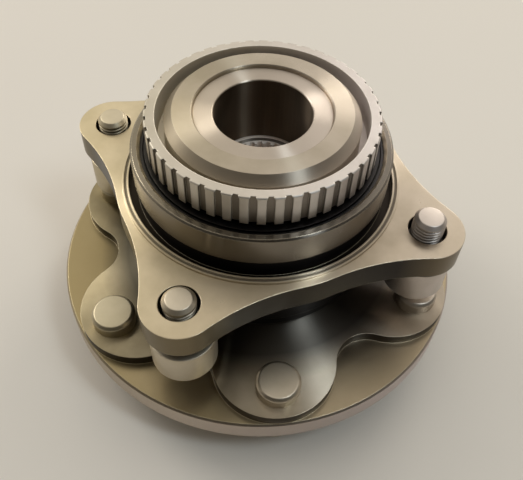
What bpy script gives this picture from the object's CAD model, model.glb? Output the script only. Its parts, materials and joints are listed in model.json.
import bpy
import json
import math
from mathutils import Matrix, Vector


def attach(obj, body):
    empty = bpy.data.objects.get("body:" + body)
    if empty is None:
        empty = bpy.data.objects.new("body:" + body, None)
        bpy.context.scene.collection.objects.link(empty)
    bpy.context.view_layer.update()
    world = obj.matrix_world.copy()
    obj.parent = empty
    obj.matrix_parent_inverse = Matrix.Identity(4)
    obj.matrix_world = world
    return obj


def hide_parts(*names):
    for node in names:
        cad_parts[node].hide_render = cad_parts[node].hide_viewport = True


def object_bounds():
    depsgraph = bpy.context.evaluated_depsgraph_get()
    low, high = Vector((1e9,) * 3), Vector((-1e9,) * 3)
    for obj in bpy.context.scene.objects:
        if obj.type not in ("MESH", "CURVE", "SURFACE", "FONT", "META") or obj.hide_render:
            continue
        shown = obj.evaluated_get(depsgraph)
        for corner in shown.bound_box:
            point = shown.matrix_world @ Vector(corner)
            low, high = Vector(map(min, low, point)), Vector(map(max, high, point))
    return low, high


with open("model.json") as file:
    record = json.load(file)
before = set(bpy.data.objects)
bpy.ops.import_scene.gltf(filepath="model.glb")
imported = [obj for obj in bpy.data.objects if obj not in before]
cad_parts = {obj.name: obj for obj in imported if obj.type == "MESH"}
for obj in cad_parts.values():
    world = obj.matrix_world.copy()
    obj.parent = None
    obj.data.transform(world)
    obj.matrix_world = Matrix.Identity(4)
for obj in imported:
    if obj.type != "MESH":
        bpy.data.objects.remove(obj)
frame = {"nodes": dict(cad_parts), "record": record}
cad_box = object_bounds()

# Wheel hub bearing: steels for the CAD nodes, threaded studs and knuckle bolts, and the
# photograph's table, light and camera. The spin axis is Z, z = 0 is the wheel's seat face,
# and the knuckle side is at +Z. Sizes on the part are in mm, and MM turns them into metres.
# The camera, the table and the lamps are placed in metres.
MM = 0.001
scene = bpy.context.scene

# ---------------------------------------------------------------- sizes of the CAD solids
mounts = {row["name"]: row for row in frame["record"]["mounts"]}


def mount_size(name, key):
    return mounts[name]["dims"][key]


def mount_z(name):
    """Height of a mount in mm."""
    return mounts[name]["pos_m"][2] / MM


STUD_COUNT = mount_size("wheel_studs", "count")
STUD_CIRCLE_R = mount_size("wheel_studs", "pcd_mm") / 2
STUD_R = mount_size("wheel_studs", "stud_r_mm")
BOLT_CIRCLE_R = mount_size("knuckle_bolts", "pcd_mm") / 2
BOLT_R = mount_size("knuckle_bolts", "stud_r_mm")
PILOT_R = mount_size("knuckle_pilot", "r_mm")
BORE_R = mount_size("axle_bore", "r_mm")
BORE_FLOOR_Z = mount_z("axle_bore") - mount_size("axle_bore", "length_mm") / 2
FACE_Z = mount_z("knuckle_face")             # top of the lobed knuckle flange
RIM_R = cad_box[1][0] / MM                   # rim of the wheel flange

# sizes that the frame doesn't give, as in the CAD model
UNDER_Z = FACE_Z - 11.8                      # underside of the lobed flange
GROUND_Z = FACE_Z + 5.0                      # lower edge of the pilot's ground seat
POCKET_Z, PAD_Z = 10.0, 14.7                 # wheel flange: floor of the pockets, top of the pads
SPLINE_ROOT_R = 15.0
TONE_INNER_R, TONE_GROOVE_R, TONE_R = 37.9, 40.85, 41.85


# ---------------------------------------------------------------- building shaders
MIX_A, MIX_B, MIX_RESULT = 6, 7, 2           # a Mix node's colour sockets


class Nodes:
    """Short ways to add and join the nodes of one shader tree."""

    def __init__(self, tree):
        self.tree = tree

    def add(self, kind, **settings):
        node = self.tree.nodes.new("ShaderNode" + kind)
        for key, value in settings.items():
            setattr(node, key, value)
        return node

    def plug(self, socket, value):
        """Link a socket to another one, or set it to a number, a vector or a colour."""
        if isinstance(value, bpy.types.NodeSocket):
            self.tree.links.new(value, socket)
        elif socket.type == "RGBA" and len(value) == 3:
            socket.default_value = (*value, 1.0)
        else:
            socket.default_value = value

    def math(self, operation, a, b=0.0):
        node = self.add("Math", operation=operation)
        self.plug(node.inputs[0], a)
        self.plug(node.inputs[1], b)
        return node.outputs[0]

    def both(self, a, b):
        """Where two masks meet, or a value times a factor."""
        return self.math("MULTIPLY", a, b)

    def inverse(self, mask):
        return self.math("SUBTRACT", 1.0, mask)

    def span(self, value, low, high, to_low=0.0, to_high=1.0):
        """Map low..high to to_low..to_high, and clamp it there."""
        node = self.add("MapRange")
        self.plug(node.inputs["Value"], value)
        self.plug(node.inputs["From Min"], low)
        self.plug(node.inputs["From Max"], high)
        self.plug(node.inputs["To Min"], to_low)
        self.plug(node.inputs["To Max"], to_high)
        return node.outputs[0]

    def ramp(self, value, stops):
        node = self.add("ValToRGB")
        elements = node.color_ramp.elements
        while len(elements) < len(stops):
            elements.new(0.5)
        for element, (place, colour) in zip(elements, stops):
            element.position = place
            element.color = (*colour, 1.0)
        self.plug(node.inputs[0], value)
        return node.outputs[0]

    def mix(self, amount, a, b, blend="MIX"):
        node = self.add("Mix", data_type="RGBA", blend_type=blend)
        self.plug(node.inputs[0], amount)
        self.plug(node.inputs[MIX_A], a)
        self.plug(node.inputs[MIX_B], b)
        return node.outputs[MIX_RESULT]

    def dot(self, a, b):
        node = self.add("VectorMath", operation="DOT_PRODUCT")
        self.plug(node.inputs[0], a)
        self.plug(node.inputs[1], b)
        return node.outputs["Value"]

    def noise(self, vector, scale, detail, rough):
        node = self.add("TexNoise")
        self.plug(node.inputs["Vector"], vector)
        self.plug(node.inputs["Scale"], scale)
        self.plug(node.inputs["Detail"], detail)
        self.plug(node.inputs["Roughness"], rough)
        return node.outputs["Fac"]

    def bump(self, height, strength, distance, normal=None):
        node = self.add("Bump")
        self.plug(node.inputs["Height"], height)
        self.plug(node.inputs["Strength"], strength)
        self.plug(node.inputs["Distance"], distance)
        if normal is not None:
            self.plug(node.inputs["Normal"], normal)
        return node.outputs[0]


class Shade(Nodes):
    """A material under construction, with the places on the part that its zones need."""

    def __init__(self, name):
        self.mat = bpy.data.materials.new(name)
        self.mat.use_nodes = True
        super().__init__(self.mat.node_tree)
        self.coords = self.add("TexCoord").outputs["Object"]

    def surface(self, **values):
        """Plug values into the shader, named like its sockets with _ for a space."""
        shader = self.tree.nodes["Principled BSDF"]
        for key, value in values.items():
            self.plug(shader.inputs[key.replace("_", " ")], value)

    def find_places(self):
        """The radius from the spin axis, the height, and how far the surface faces up."""
        split = self.add("SeparateXYZ")
        self.plug(split.inputs[0], self.coords)
        self.x, self.y, self.z = split.outputs
        squares = self.math("ADD", self.both(self.x, self.x), self.both(self.y, self.y))
        self.radius = self.math("SQRT", squares)
        self.flat_normal = self.add("NewGeometry").outputs["Normal"]
        facing = self.add("SeparateXYZ")
        self.plug(facing.inputs[0], self.flat_normal)
        self.up = facing.outputs[2]

    def above(self, value, edge):
        """1 above an edge in mm and 0 below it, with a short ramp."""
        width = 0.15
        return self.span(value, (edge - width) * MM, (edge + width) * MM)

    def below(self, value, edge):
        return self.inverse(self.above(value, edge))

    def between(self, value, low, high):
        return self.both(self.above(value, low), self.below(value, high))

    def fade(self, value, low, high, to_low=0.0, to_high=1.0):
        """A span whose ends are in mm."""
        return self.span(value, low * MM, high * MM, to_low, to_high)

    def coat(self, mask, colour, strength=1.0):
        """Lay a colour over the base where the mask is."""
        amount = mask if strength == 1.0 else self.both(mask, strength)
        self.base = self.mix(amount, self.base, colour)

    def roughen(self, mask, change):
        """Add a change, which may be below zero, to the roughness where the mask is."""
        self.rough = self.math("ADD", self.rough, self.both(mask, change))

    def turning_marks(self):
        """Noise that changes quickly with radius and height and slowly round the axis."""
        turn = self.math("ARCTAN2", self.y, self.x)
        vector = self.add("CombineXYZ")
        self.plug(vector.inputs[0], self.radius)
        self.plug(vector.inputs[1], self.z)
        self.plug(vector.inputs[2], self.both(turn, 0.02))
        return self.noise(vector.outputs[0], 3800.0, 2.0, 0.7)

    def soft_edges(self, width_mm):
        """Normal with softened edges, and a mask that is bright on them."""
        bevel = self.add("Bevel", samples=6)
        self.plug(bevel.inputs["Radius"], width_mm * MM)
        normal = bevel.outputs[0]
        return normal, self.span(self.dot(normal, self.flat_normal), 0.995, 0.86)


# ---------------------------------------------------------------- zones of the steels
# Each one changes the base colour and roughness of a Shade, and may set where it is turned,
# from 0 to 1, and where it is chalky instead of metallic.
def ring_zones(s):
    """Ground seat on the pilot, black groove at its foot, turned face, darker forging below."""
    ground = s.both(s.above(s.z, GROUND_Z), s.above(s.radius, PILOT_R - 2.5))
    s.coat(ground, (0.20, 0.18, 0.14))
    s.roughen(ground, -0.10)
    groove = s.both(s.between(s.z, FACE_Z - 2.2, GROUND_Z + 0.1), s.below(s.radius, PILOT_R + 2.3))
    s.coat(groove, (0.02, 0.018, 0.017))
    forged = s.below(s.z, FACE_Z - 0.2)
    outward = s.fade(s.radius, BOLT_CIRCLE_R - 2.1, BOLT_CIRCLE_R + 10.9)
    s.coat(forged, s.mix(outward, (0.022, 0.018, 0.013), (0.15, 0.122, 0.07)))
    underside = s.both(forged, s.span(s.up, -0.3, -0.8))
    s.coat(underside, (0.035, 0.031, 0.024), 0.9)
    barrel = s.both(s.below(s.z, UNDER_Z - 0.2), s.below(s.radius, PILOT_R - 0.4))
    s.coat(barrel, (0.045, 0.045, 0.043), 0.9)
    lip_groove = s.both(s.between(s.z, FACE_Z + 0.4, FACE_Z + 0.8),
                        s.between(s.radius, PILOT_R + 2.9, PILOT_R + 4.3))
    s.coat(lip_groove, (0.06, 0.052, 0.04), 0.8)
    inward = s.fade(s.radius, BOLT_CIRCLE_R + 7.9, BOLT_CIRCLE_R - 8.1, 0.55, 1.0)
    s.turned = s.both(s.above(s.z, FACE_Z - 0.4), inward)


def hub_zones(s):
    """Machined stem end, turned pads with dark flanks, oily pockets, dark bore, bright teeth."""
    stem_z = BORE_FLOOR_Z + 1.3
    bore_wall_z = BORE_FLOOR_Z + 0.9
    s.coat(s.above(s.z, stem_z), (0.60, 0.54, 0.44))
    pocket = s.both(s.below(s.z, POCKET_Z + 0.6), s.span(s.up, 0.7, 0.95))
    s.coat(pocket, (0.325, 0.265, 0.148), 0.8)
    pad_flank = s.both(s.between(s.z, POCKET_Z + 0.2, PAD_Z - 0.2), s.span(s.up, 0.85, 0.45))
    s.coat(pad_flank, (0.028, 0.021, 0.013), 0.92)
    neck = s.both(s.fade(s.radius, 68.0, 56.0), s.between(s.z, POCKET_Z - 1.0, stem_z))
    s.coat(neck, (0.07, 0.066, 0.055), 0.9)
    rim = s.both(s.above(s.radius, RIM_R - 0.4), s.below(s.z, POCKET_Z - 0.2))
    s.coat(rim, (0.54, 0.47, 0.41), 0.8)
    in_bore = s.below(s.radius, BORE_R + 0.14)
    s.coat(s.both(in_bore, s.above(s.z, bore_wall_z)), (0.13, 0.10, 0.065), 0.95)
    s.roughen(s.between(s.z, PAD_Z - 2.7, PAD_Z + 0.5), 0.03)
    teeth = s.both(in_bore, s.below(s.z, bore_wall_z))
    ledge = s.both(teeth, s.between(s.radius, SPLINE_ROOT_R + 0.6, SPLINE_ROOT_R + 2.3))
    s.chalk = s.math("SUBTRACT", teeth, s.both(ledge, 0.9))
    s.coat(s.chalk, (0.96, 0.88, 0.76))
    s.turned = s.math("MAXIMUM", s.above(s.z, POCKET_Z + 2.0), s.span(s.up, -0.9, -0.98))


def tone_zones(s):
    """Dark floors in the grooves of the speed ring and a plain inner wall."""
    outside = s.both(s.span(s.up, 0.9, 0.6), s.above(s.radius, TONE_INNER_R + 1.6))
    groove = s.both(outside, s.inverse(s.fade(s.radius, TONE_GROOVE_R + 0.1, TONE_R - 0.25)))
    s.coat(groove, (0.13, 0.11, 0.08), 0.8)
    inner_wall = s.below(s.radius, TONE_INNER_R + 0.2)
    s.coat(inner_wall, (0.82, 0.78, 0.68), 0.8)
    s.roughen(inner_wall, 0.15)


def bearing_zones(s):
    """Darker chamfer round the inner ring's turned face."""
    chamfer = s.both(s.span(s.up, 0.93, 0.85), s.span(s.up, 0.2, 0.4))
    s.coat(chamfer, (0.34, 0.30, 0.23), 0.75)
    s.roughen(chamfer, 0.06)


# ---------------------------------------------------------------- materials
RIGHTWARD = (0.914, 0.406, 0.0)          # direction towards the photograph's right
RIGHT_TINT = (1.05, 1.03, 1.18)          # cooler steel on that side
WARM_TINT = (1.0, 0.965, 0.86)           # and on the left, where a steel has no tint of its own
STAIN_TINT = (0.86, 0.80, 0.68)


def steel(name, tone, dark, rough, grain=1.0, lathe=0.0, aniso=0.0, edge_mm=0.35, worn=0.5,
          zones=None, threads=False, left=WARM_TINT):
    """Plain steel: cloudy tone, fine grain, optional turning marks, brighter worn edges."""
    s = Shade(name)
    s.find_places()
    clouds = s.noise(s.coords, 55.0, 4.0, 0.6)
    stains = s.noise(s.coords, 17.0, 3.0, 0.55)
    normal, edge = s.soft_edges(edge_mm)

    s.turned, s.chalk = 1.0, None
    s.base = s.mix(s.span(clouds, 0.35, 0.68), dark, tone)
    s.coat(s.span(stains, 0.52, 0.75, 0.0, 0.35), tuple(c * t for c, t in zip(dark, STAIN_TINT)))
    s.rough = s.span(clouds, 0.3, 0.7, rough + 0.05, rough - 0.05)
    if lathe:
        marks = s.turning_marks()
        s.roughen(s.span(marks, 0.3, 0.7, -0.1, 0.1), lathe)
    if zones:
        zones(s)
    leftward = s.fade(s.dot(s.coords, RIGHTWARD), 50.0, -70.0)
    s.base = s.mix(1.0, s.base, s.mix(leftward, RIGHT_TINT, left), "MULTIPLY")
    s.coat(edge, tuple(min(1.0, c * 1.15 + 0.04) for c in tone), worn)
    if threads:
        valley = s.add("Attribute", attribute_name="valley").outputs["Fac"]
        s.coat(valley, (0.06, 0.048, 0.032), 0.8)

    if aniso:
        uniform = isinstance(s.turned, float)
        tangent = s.add("Tangent", direction_type="RADIAL", axis="Z").outputs[0]
        s.surface(Anisotropic=aniso * s.turned if uniform else s.both(s.turned, aniso),
                  Anisotropic_Rotation=0.25, Tangent=tangent)
    if grain:
        normal = s.bump(s.noise(s.coords, 2600.0, 3.0, 0.65), 0.25 * grain, 0.06 * MM, normal)
    if lathe:
        normal = s.bump(marks, 0.35 * lathe, 0.03 * MM, normal)
    s.surface(Base_Color=s.base, Roughness=s.rough, Normal=normal,
              Metallic=1.0 if s.chalk is None else s.inverse(s.chalk))
    return s.mat


def rubber(name):
    s = Shade(name)
    speck = s.noise(s.coords, 900.0, 3.0, 0.6)
    s.surface(Base_Color=s.mix(speck, (0.012, 0.012, 0.012), (0.035, 0.034, 0.033)),
              Roughness=s.span(speck, 0.3, 0.7, 0.5, 0.7), Normal=s.bump(speck, 0.2, 0.1 * MM))
    return s.mat


def table_paper(name):
    s = Shade(name)
    clouds = s.noise(s.coords, 3.0, 3.0, 0.5)
    fibres = s.noise(s.coords, 700.0, 3.0, 0.5)
    s.surface(Base_Color=s.mix(clouds, (0.72, 0.68, 0.62), (0.76, 0.72, 0.665)),
              Roughness=0.75, Specular_IOR_Level=0.2, Normal=s.bump(fibres, 0.1, 0.2 * MM))
    return s.mat


MATERIALS = {
    "hub_steel": steel(
        "hub_steel", (0.56, 0.50, 0.37), (0.46, 0.405, 0.285), 0.35, grain=0.2, lathe=0.3,
        aniso=1.0, zones=hub_zones, left=(0.84, 0.80, 0.69)),
    "ring_steel": steel(
        "ring_steel", (0.57, 0.50, 0.36), (0.48, 0.42, 0.29), 0.33, grain=0.2, lathe=0.15,
        aniso=0.93, edge_mm=0.4, zones=ring_zones, left=(1.19, 1.155, 1.07)),
    "tone_steel": steel(
        "tone_steel", (0.60, 0.57, 0.50), (0.51, 0.48, 0.41), 0.42, edge_mm=0.5, zones=tone_zones),
    "bearing_steel": steel(
        "bearing_steel", (0.58, 0.52, 0.40), (0.51, 0.455, 0.335), 0.34, grain=0.0, lathe=0.5,
        aniso=0.95, edge_mm=0.2, worn=0.4, zones=bearing_zones, left=(0.75, 0.72, 0.63)),
    "cage_steel": steel("cage_steel", (0.50, 0.47, 0.41), (0.42, 0.39, 0.34), 0.40),
    "seal_steel": steel(
        "seal_steel", (0.05, 0.048, 0.045), (0.035, 0.033, 0.03), 0.35, edge_mm=0.15, worn=0.2),
    "seal_rubber": rubber("seal_rubber"),
    "stud_steel": steel(
        "stud_steel", (0.58, 0.525, 0.40), (0.50, 0.45, 0.33), 0.38, grain=0.6, edge_mm=0.4,
        threads=True, left=(0.88, 0.86, 0.79)),
    "bolt_steel": steel(
        "bolt_steel", (0.57, 0.52, 0.42), (0.49, 0.445, 0.35), 0.46, grain=0.5, edge_mm=0.4,
        threads=True),
}


def paint(obj, mat):
    obj.data.materials.clear()
    obj.data.materials.append(mat)


for row in frame["record"]["subparts"]:
    paint(frame["nodes"][row["node"]], MATERIALS[row["material_slot"]])


# ---------------------------------------------------------------- threaded fasteners
THREAD_PITCH, THREAD_DEPTH = 1.5, 0.95
RINGS_PER_PITCH = 8


def turned_mesh(name, rings, around=48):
    """Mesh through rings of points. A ring is a radius and a height, and its radius may be a
    function of the turn, which gives a radius and how deep in a thread's valley it is."""
    verts, faces, valleys = [], [], []
    for radius, height in rings:
        for k in range(around):
            turn = 2 * math.pi * k / around
            r, valley = radius(turn) if callable(radius) else (radius, 0.0)
            valleys.append(valley)
            verts.append((r * MM * math.cos(turn), r * MM * math.sin(turn), height * MM))
    count = len(rings)
    for i in range(count - 1):
        for k in range(around):
            a, b = i * around + k, i * around + (k + 1) % around
            faces.append((a, b, b + around, a + around))
    faces.append(tuple(reversed(range(around))))
    faces.append(tuple((count - 1) * around + k for k in range(around)))
    mesh = bpy.data.meshes.new(name)
    mesh.from_pydata(verts, [], faces)
    mesh.validate()
    mesh.attributes.new("valley", "FLOAT", "POINT").data.foreach_set("value", valleys)
    mesh.shade_smooth()
    mesh.set_sharp_from_angle(angle=math.radians(35))
    return mesh


def arc_rings(radius, height, round_r, start, stop, steps=4):
    """Rings along a rounded edge whose arc centre is round_r inside the radius, at the height."""
    rings = []
    for i in range(steps + 1):
        a = math.radians(start + (stop - start) * i / steps)
        rings.append((radius - round_r + round_r * math.cos(a), height + round_r * math.sin(a)))
    return rings


def thread_rings(major_r, z_from, z_to):
    """Rings of a helical thread that fades out at both ends."""
    steps = int((z_to - z_from) / THREAD_PITCH * RINGS_PER_PITCH)
    rings = []
    for i in range(steps + 1):
        z = z_from + (z_to - z_from) * i / steps
        fade = min(1.0, i / RINGS_PER_PITCH, (steps - i) / (0.6 * RINGS_PER_PITCH))

        def radius(turn, z=z, fade=fade):
            wave = (z / THREAD_PITCH - turn / (2 * math.pi)) % 1.0
            valley = fade * (1 - min(1.0, 1.35 * abs(2 * wave - 1)))
            return major_r - THREAD_DEPTH * valley, valley

        rings.append((radius, z))
    return rings


def hexagon(across):
    """Radius of a hexagonal socket as a function of the turn."""
    def radius(turn):
        return across / 2 / math.cos((turn % (math.pi / 3)) - math.pi / 6), 0.0
    return radius


def place_fastener(node, body, slot, rings, circle_r, angle):
    """A threaded fastener in the place of its plain CAD solid."""
    mesh = turned_mesh(f"{node}_mesh", rings)
    turn = math.radians(angle)
    place = Vector((math.cos(turn), math.sin(turn), 0)) * circle_r * MM
    mesh.transform(Matrix.Translation(place))
    obj = bpy.data.objects.new(f"{node}_threaded", mesh)
    scene.collection.objects.link(obj)
    paint(obj, MATERIALS[slot])
    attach(obj, body)
    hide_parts(node)


def knuckle_bolt_rings(tip):
    """Captive bolt from its socket and head up through its guide to the threaded tip."""
    length, head_height, guide_length, socket_depth = 20.0, 15.0, 8.0, 6.0
    head_r, guide_r, socket = 12.0, 6.95, hexagon(10.0)
    head_round, seat_round, guide_bevel = 0.8, 0.35, 0.6
    seat = tip - length
    head = seat - head_height
    guide_end = seat + guide_length
    rings = [(0.6, head + socket_depth), (socket, head + socket_depth)]
    rings += [(socket, head + 0.5), (6.5, head)]
    rings += arc_rings(head_r, head + head_round, head_round, -90, 0)
    rings += arc_rings(head_r, seat - seat_round, seat_round, 0, 90)
    rings += [(guide_r, seat), (guide_r, guide_end - guide_bevel)]
    rings += [(guide_r - guide_bevel, guide_end)]
    rings += thread_rings(BOLT_R, guide_end, tip - 1.5)
    rings += [(BOLT_R - 0.1, tip - 1.4), (4.7, tip - 0.2), (4.55, tip - 0.05), (4.3, tip)]
    return rings


def wheel_stud_rings():
    """Wheel stud from its pointed tip up through its thread and knurl to its round head."""
    tip, thread_end, face, head_height = -19.5, -1.0, 0.0, 5.9
    knurl_r, head_r = 6.3, 8.4
    head_top = PAD_Z + head_height
    rings = [(3.6, tip), (4.6, tip + 0.1), (4.9, tip + 0.3), (STUD_R - 0.05, tip + 2.1)]
    rings += thread_rings(STUD_R, tip + 2.2, thread_end)
    rings += [(STUD_R, face), (knurl_r, face), (knurl_r, PAD_Z), (head_r, PAD_Z)]
    rings += [(head_r, head_top - 1.6)]
    rings += arc_rings(head_r, head_top - 1.5, 0.5, 0, 40, 3)
    rings += [(7.45, head_top - 0.15), (7.2, head_top - 0.02), (6.9, head_top)]
    return rings


BOLT_STAND_OUT = {0: 6.6, 90: 4.1, 180: 3.6, 270: 2.6}     # angle: tip above the lobed flange
for number, (angle, stand_out) in enumerate(BOLT_STAND_OUT.items(), 1):
    place_fastener(f"knuckle_bolt_{number}", f"bolt_{number}", "bolt_steel",
                   knuckle_bolt_rings(FACE_Z + stand_out), BOLT_CIRCLE_R, angle)
for number in range(1, STUD_COUNT + 1):
    place_fastener(f"wheel_stud_{number}", "hub", "stud_steel",
                   wheel_stud_rings(), STUD_CIRCLE_R, (number - 1) * 360 / STUD_COUNT)


# ---------------------------------------------------------------- camera
# fitted to the photograph: lens and sensor in mm, place, and the picture's own directions
LENS, SENSOR = 45.607, 36.0
CAMERA_PLACE = Vector((0.069045, -0.166690, 0.239269))
RIGHT = Vector((0.91366, 0.40565, 0.02602))
UP = Vector((-0.33119, 0.70579, 0.62624))
AHEAD = Vector((-0.23566, 0.58079, -0.77920))

camera_data = bpy.data.cameras.new("camera")
camera_data.lens = LENS
camera_data.sensor_width = SENSOR
camera_data.clip_start = 0.01
camera = bpy.data.objects.new("camera", camera_data)
scene.collection.objects.link(camera)
axes = Matrix((RIGHT, UP, -AHEAD)).transposed().to_4x4()
camera.matrix_world = Matrix.Translation(CAMERA_PLACE) @ axes
scene.camera = camera
scene.view_settings.view_transform = "Standard"

# ---------------------------------------------------------------- table and light
TABLE_SIZE = 6.0
LOWEST_Z = cad_box[0][2]                     # the studs' tips stand on the table
bpy.ops.mesh.primitive_plane_add(size=TABLE_SIZE, location=(0, 0, LOWEST_Z))
floor = bpy.context.object
floor.name = "floor"
paint(floor, table_paper("floor_paper"))

FLAT_BACK = Vector((AHEAD.x, AHEAD.y, 0)).normalized()
FLAT_RIGHT = Vector((FLAT_BACK.y, -FLAT_BACK.x, 0))
LAMP_TARGET = Vector((0, 0, 0.04))


def at(right, back, height):
    """A place in metres: to the camera's right, away from the camera, and up."""
    return FLAT_RIGHT * right + FLAT_BACK * back + Vector((0, 0, height))


def studio_world():
    """Soft room light: bright overhead and behind the object, dim on the viewer's side."""
    world = bpy.data.worlds.new("studio")
    world.use_nodes = True
    nodes = Nodes(world.node_tree)
    direction = nodes.add("TexCoord").outputs["Generated"]
    brightest = at(-0.12, 0.84, 0.53).normalized()
    towards = nodes.span(nodes.dot(direction, brightest), -1.0, 1.0)
    light = nodes.ramp(towards, (
        (0.0, (0.03, 0.026, 0.019)), (0.40, (0.055, 0.049, 0.04)), (0.56, (0.24, 0.225, 0.20)),
        (0.74, (0.78, 0.74, 0.67)), (1.0, (0.98, 0.93, 0.84)),
    ))
    seen = nodes.add("LightPath").outputs["Is Camera Ray"]
    backdrop = (0.67, 0.635, 0.575)
    background = world.node_tree.nodes["Background"]
    nodes.plug(background.inputs["Color"], nodes.mix(seen, light, backdrop))
    nodes.plug(background.inputs["Strength"], 1.0)
    return world


def lamp(name, place, size, power, colour):
    """A rectangular lamp in watts that points at the object."""
    data = bpy.data.lights.new(name, "AREA")
    data.shape = "RECTANGLE"
    data.size, data.size_y = size
    data.energy = power
    data.color = colour
    obj = bpy.data.objects.new(name, data)
    scene.collection.objects.link(obj)
    obj.location = place
    obj.rotation_euler = (LAMP_TARGET - place).to_track_quat("-Z", "Y").to_euler()


scene.world = studio_world()
lamp("back_left", at(-0.98, 0.62, 0.85), (0.50, 0.55), 4.8, (1.0, 0.96, 0.89))
lamp("back_right", at(0.60, 1.15, 0.60), (0.60, 0.50), 4.0, (1.0, 0.94, 0.84))
lamp("window", at(0.42, -0.30, 0.86), (0.12, 0.30), 1.8, (0.80, 0.92, 1.0))

bpy.context.view_layer.update()
